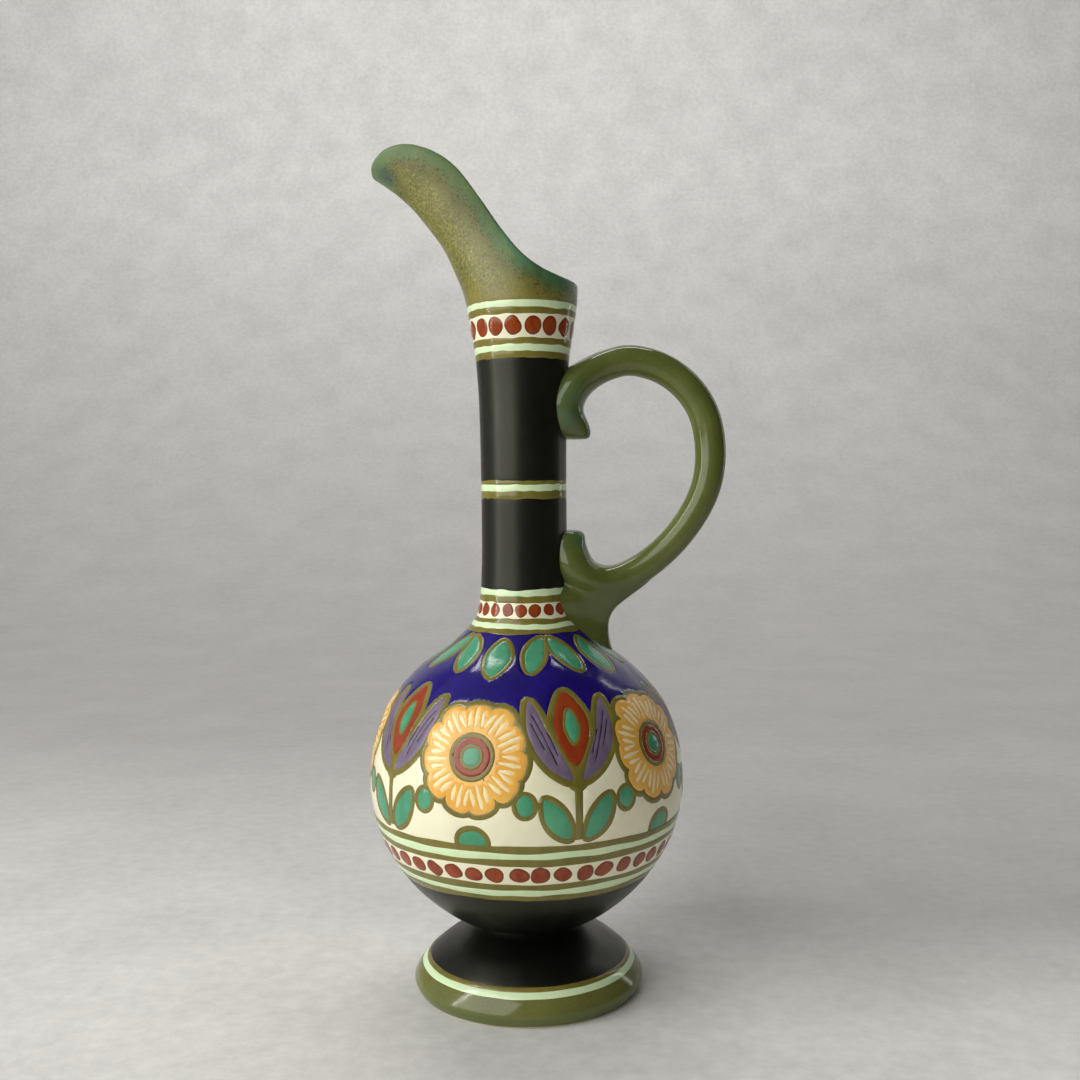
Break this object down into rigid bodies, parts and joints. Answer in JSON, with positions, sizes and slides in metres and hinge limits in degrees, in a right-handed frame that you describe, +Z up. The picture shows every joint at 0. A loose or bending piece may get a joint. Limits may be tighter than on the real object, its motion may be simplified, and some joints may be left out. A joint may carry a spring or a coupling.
{
  "type": "pitcher",
  "caption": "Tall footed earthenware pitcher: globular belly, slim neck, long open beak spout and looped scroll handle, with painted bands, beads and flowers.",
  "frame": {"origin": "the pitcher's own axis, on the plane that its foot stands on", "axes": "+Z up along the axis, +X towards the handle, -X towards the spout, Y across"},
  "size_m": [0.1194, 0.1044, 0.2776],
  "materials": {
    "clay": "unglazed biscuit, seen only under the foot and inside",
    "spout_glaze": "glossy mottled olive gold, green at the rim",
    "handle_glaze": "glossy olive green",
    "rim_glaze": "glossy olive green",
    "mint": "glossy",
    "olive": "glossy, slightly raised",
    "black": "satin",
    "cream": "glossy",
    "cobalt": "glossy",
    "rust": "glossy raised enamel"
  },
  "bodies": {
    "root": {"foot": "clay", "belly": "clay", "neck": "clay", "spout": "spout_glaze", "handle": "handle_glaze", "foot_rim_glaze": "rim_glaze", "foot_mint_line": "mint", "foot_olive_line": "olive", "black_glaze_base": "black", "belly_band_olive": "olive", "belly_band_mint": "mint", "belly_band_ground": "cream", "belly_beads": "rust", "belly_ground": "cream", "shoulder_ground": "cobalt", "neck_base_olive": "olive", "neck_base_mint": "mint", "neck_base_ground": "cream", "neck_base_beads": "rust", "neck_black_lower": "black", "neck_line_olive": "olive", "neck_line_mint": "mint", "neck_black_upper": "black", "collar_olive": "olive", "collar_mint": "mint", "collar_ground": "cream", "collar_beads": "rust"}
  },
  "joints": []
}
